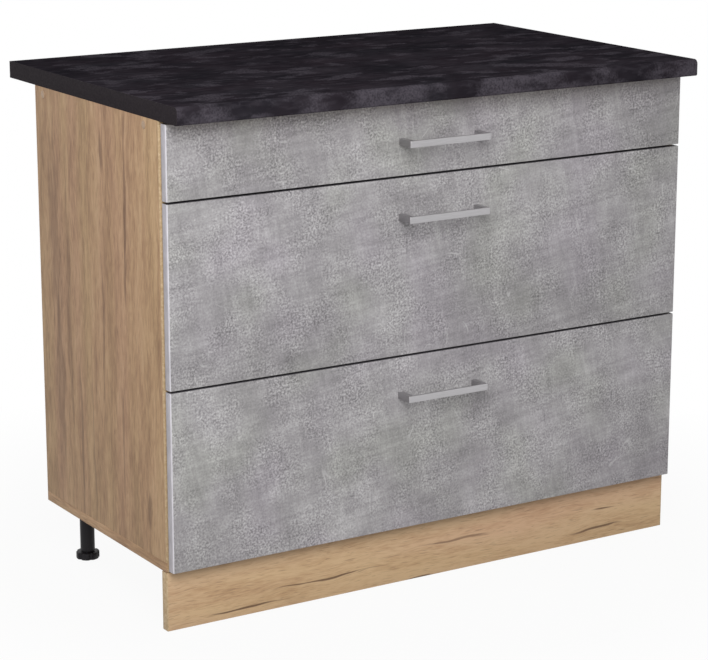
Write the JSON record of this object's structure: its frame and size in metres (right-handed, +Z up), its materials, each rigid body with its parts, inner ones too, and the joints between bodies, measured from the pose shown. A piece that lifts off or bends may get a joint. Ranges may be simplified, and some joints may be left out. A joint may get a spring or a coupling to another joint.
{
  "type": "base cabinet with drawers",
  "caption": "Kitchen base cabinet: oak-decor carcass on levelling legs, concrete-decor drawer fronts with bow handles on roller runners, dark worktop and plinth.",
  "frame": {"origin": "on the floor, under the middle of the worktop", "axes": "+X to the right along the cabinet's width, +Y towards the wall, +Z up; the drawers open towards -Y"},
  "size_m": [1.0016, 0.6, 0.85],
  "materials": {
    "oak_board": "oak-decor laminated particle board, matt, embossed pores",
    "plinth_oak": "oak-decor laminated particle board, grain along the plinth",
    "concrete_front": "light concrete decor, wrapped board with rounded edges",
    "dark_worktop": "near-black laminated worktop, fine matt texture",
    "worktop_edge": "near-black edge strip",
    "back_board": "thin fibreboard, white lacquered face",
    "white_plastic": "white extruded plastic",
    "black_plastic": "black moulded plastic",
    "handle_metal": "satin, brushed along its length",
    "zinc_steel": "bright zinc plating",
    "runner_steel": "pale grey powder coat",
    "drawer_steel": "pale grey powder coat",
    "drawer_board": "light grey laminated particle board",
    "roller_nylon": "white nylon",
    "cap_plastic": "oak-coloured screw cap",
    "buffer_rubber": "clear soft buffer",
    "dowel_beech": "fluted beech dowel"
  },
  "bodies": {
    "cabinet": {"side_panel_left": "oak_board", "side_panel_right": "oak_board", "bottom_panel": "oak_board", "top_rail_front": "oak_board", "top_rail_rear": "oak_board", "back_panel_left": "back_board", "back_panel_right": "back_board", "back_panel_joiner": "white_plastic", "worktop": "dark_worktop", "worktop_end_strip_left": "worktop_edge", "worktop_end_strip_right": "worktop_edge", "plinth_board": "plinth_oak", "plinth_clips": "black_plastic", "leg_tubes": "black_plastic", "rail_screws": "zinc_steel", "screw_caps": "cap_plastic", "bottom_screws": "zinc_steel", "leg_screws": "zinc_steel", "worktop_screws": "zinc_steel", "carcass_dowels": "dowel_beech", "front_buffers": "buffer_rubber", "cabinet_runners_left": "runner_steel", "cabinet_runners_right": "runner_steel", "runner_screws": "zinc_steel"},
    "foot_front_left": {"foot_front_left": "black_plastic"},
    "foot_front_right": {"foot_front_right": "black_plastic"},
    "foot_rear_left": {"foot_rear_left": "black_plastic"},
    "foot_rear_right": {"foot_rear_right": "black_plastic"},
    "drawer_top": {"drawer_front_top": "concrete_front", "handle_top": "handle_metal", "handle_screws_top": "zinc_steel", "drawer_side_left_top": "drawer_steel", "drawer_side_right_top": "drawer_steel", "drawer_bottom_top": "drawer_board", "drawer_back_top": "drawer_board", "front_brackets_top": "zinc_steel"},
    "cabinet_rollers_top": {"cabinet_rollers_top": "roller_nylon"},
    "drawer_rollers_top": {"drawer_rollers_top": "roller_nylon"},
    "drawer_middle": {"drawer_front_middle": "concrete_front", "handle_middle": "handle_metal", "handle_screws_middle": "zinc_steel", "drawer_side_left_middle": "drawer_steel", "drawer_side_right_middle": "drawer_steel", "drawer_bottom_middle": "drawer_board", "drawer_back_middle": "drawer_board", "front_brackets_middle": "zinc_steel", "railings_middle": "drawer_steel"},
    "cabinet_rollers_middle": {"cabinet_rollers_middle": "roller_nylon"},
    "drawer_rollers_middle": {"drawer_rollers_middle": "roller_nylon"},
    "drawer_bottom": {"drawer_front_bottom": "concrete_front", "handle_bottom": "handle_metal", "handle_screws_bottom": "zinc_steel", "drawer_side_left_bottom": "drawer_steel", "drawer_side_right_bottom": "drawer_steel", "drawer_bottom_bottom": "drawer_board", "drawer_back_bottom": "drawer_board", "front_brackets_bottom": "zinc_steel", "railings_bottom": "drawer_steel"},
    "cabinet_rollers_bottom": {"cabinet_rollers_bottom": "roller_nylon"},
    "drawer_rollers_bottom": {"drawer_rollers_bottom": "roller_nylon"}
  },
  "joints": [
    {"name": "foot_front_left_turn", "type": "hinge", "parent": "cabinet", "child": "foot_front_left", "pos_m": [-0.45, -0.19, 0.01], "axis": [0, 0, -1], "range_deg": [-120, 2880]},
    {"name": "foot_front_right_turn", "type": "hinge", "parent": "cabinet", "child": "foot_front_right", "pos_m": [0.45, -0.19, 0.01], "axis": [0, 0, -1], "range_deg": [-120, 2880]},
    {"name": "foot_rear_left_turn", "type": "hinge", "parent": "cabinet", "child": "foot_rear_left", "pos_m": [-0.45, 0.152, 0.01], "axis": [0, 0, -1], "range_deg": [-120, 2880]},
    {"name": "foot_rear_right_turn", "type": "hinge", "parent": "cabinet", "child": "foot_rear_right", "pos_m": [0.45, 0.152, 0.01], "axis": [0, 0, -1], "range_deg": [-120, 2880]},
    {"name": "drawer_top_slide", "type": "slide", "parent": "cabinet", "child": "drawer_top", "axis": [0, -1, 0], "range_m": [0, 0.33]},
    {"name": "cabinet_rollers_top_spin", "type": "hinge", "parent": "cabinet", "child": "cabinet_rollers_top", "pos_m": [0, -0.221, 0.726], "axis": [1, 0, 0], "continuous": true},
    {"name": "drawer_rollers_top_spin", "type": "hinge", "parent": "drawer_top", "child": "drawer_rollers_top", "pos_m": [0, 0.137, 0.7235], "axis": [1, 0, 0], "continuous": true},
    {"name": "drawer_middle_slide", "type": "slide", "parent": "cabinet", "child": "drawer_middle", "axis": [0, -1, 0], "range_m": [0, 0.33]},
    {"name": "cabinet_rollers_middle_spin", "type": "hinge", "parent": "cabinet", "child": "cabinet_rollers_middle", "pos_m": [0, -0.221, 0.428], "axis": [1, 0, 0], "continuous": true},
    {"name": "drawer_rollers_middle_spin", "type": "hinge", "parent": "drawer_middle", "child": "drawer_rollers_middle", "pos_m": [0, 0.137, 0.4255], "axis": [1, 0, 0], "continuous": true},
    {"name": "drawer_bottom_slide", "type": "slide", "parent": "cabinet", "child": "drawer_bottom", "axis": [0, -1, 0], "range_m": [0, 0.33]},
    {"name": "cabinet_rollers_bottom_spin", "type": "hinge", "parent": "cabinet", "child": "cabinet_rollers_bottom", "pos_m": [0, -0.221, 0.136], "axis": [1, 0, 0], "continuous": true},
    {"name": "drawer_rollers_bottom_spin", "type": "hinge", "parent": "drawer_bottom", "child": "drawer_rollers_bottom", "pos_m": [0, 0.137, 0.1335], "axis": [1, 0, 0], "continuous": true}
  ],
  "couplings": [
    {"joint": "cabinet_rollers_top_spin", "follows": "drawer_top_slide", "rad_per_m": 83.333},
    {"joint": "drawer_rollers_top_spin", "follows": "drawer_top_slide", "rad_per_m": 83.333},
    {"joint": "cabinet_rollers_middle_spin", "follows": "drawer_middle_slide", "rad_per_m": 83.333},
    {"joint": "drawer_rollers_middle_spin", "follows": "drawer_middle_slide", "rad_per_m": 83.333},
    {"joint": "cabinet_rollers_bottom_spin", "follows": "drawer_bottom_slide", "rad_per_m": 83.333},
    {"joint": "drawer_rollers_bottom_spin", "follows": "drawer_bottom_slide", "rad_per_m": 83.333}
  ]
}
